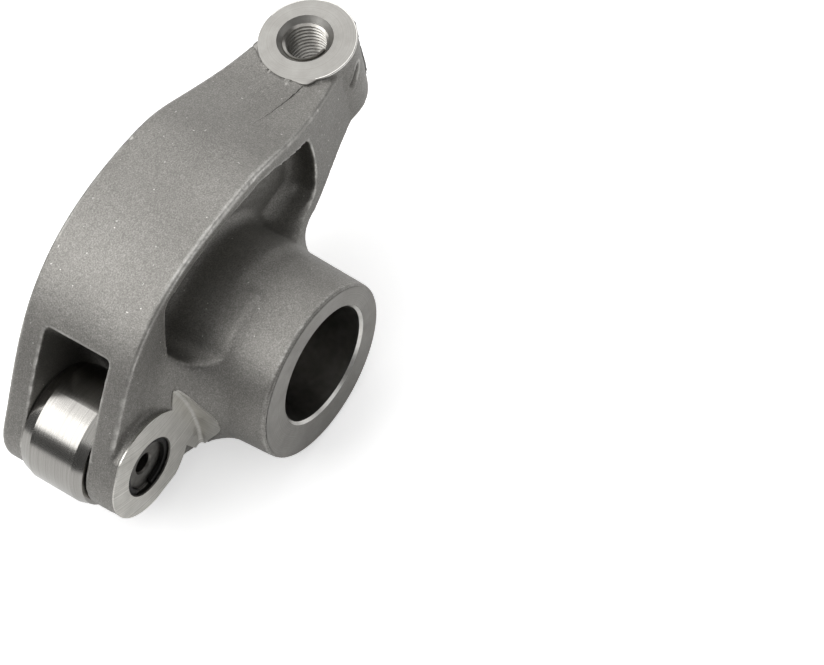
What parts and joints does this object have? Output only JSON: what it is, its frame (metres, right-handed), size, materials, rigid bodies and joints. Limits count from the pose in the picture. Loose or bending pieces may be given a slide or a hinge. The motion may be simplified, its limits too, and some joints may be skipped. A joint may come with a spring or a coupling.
{
  "type": "roller rocker arm",
  "caption": "Cast shaft-mounted rocker arm with an offset hub, side pockets, a threaded adjuster boss at one end and a needle roller in a clevis at the other.",
  "frame": {"origin": "on the shaft bore's axis, in the plane through the adjuster's axis square to the bore", "axes": "+Y along the bore towards the long end of the hub, +Z along the adjuster's thread towards its spot face, +X towards the roller"},
  "size_m": [0.1091, 0.0492, 0.0583],
  "materials": {
    "cast_steel": "shot-blasted casting, machined at the hub face, pad, spot face and bores",
    "roller_steel": "ground bearing steel, polished tread",
    "pin_steel": "dark hardened pin",
    "ring_steel": "black phosphated spring steel",
    "needle_steel": "ground needles"
  },
  "bodies": {
    "arm": {"rocker_body": "cast_steel", "roller_pin": "pin_steel", "retaining_ring_a": "ring_steel", "retaining_ring_b": "ring_steel"},
    "roller": {"roller": "roller_steel"},
    "needle_set": {"needle_1": "needle_steel", "needle_2": "needle_steel", "needle_3": "needle_steel", "needle_4": "needle_steel", "needle_5": "needle_steel", "needle_6": "needle_steel", "needle_7": "needle_steel", "needle_8": "needle_steel", "needle_9": "needle_steel", "needle_10": "needle_steel", "needle_11": "needle_steel", "needle_12": "needle_steel", "needle_13": "needle_steel", "needle_14": "needle_steel", "needle_15": "needle_steel", "needle_16": "needle_steel", "needle_17": "needle_steel", "needle_18": "needle_steel"}
  },
  "joints": [
    {"name": "roller_spin", "type": "hinge", "parent": "arm", "child": "roller", "pos_m": [0.03565, 0.00335, -0.00175], "axis": [0, 1, 0], "continuous": true},
    {"name": "needle_travel", "type": "hinge", "parent": "arm", "child": "needle_set", "pos_m": [0.03565, 0.00335, -0.00175], "axis": [0, 1, 0], "continuous": true}
  ],
  "couplings": [
    {"joint": "needle_travel", "follows": "roller_spin", "ratio": 0.5834}
  ]
}
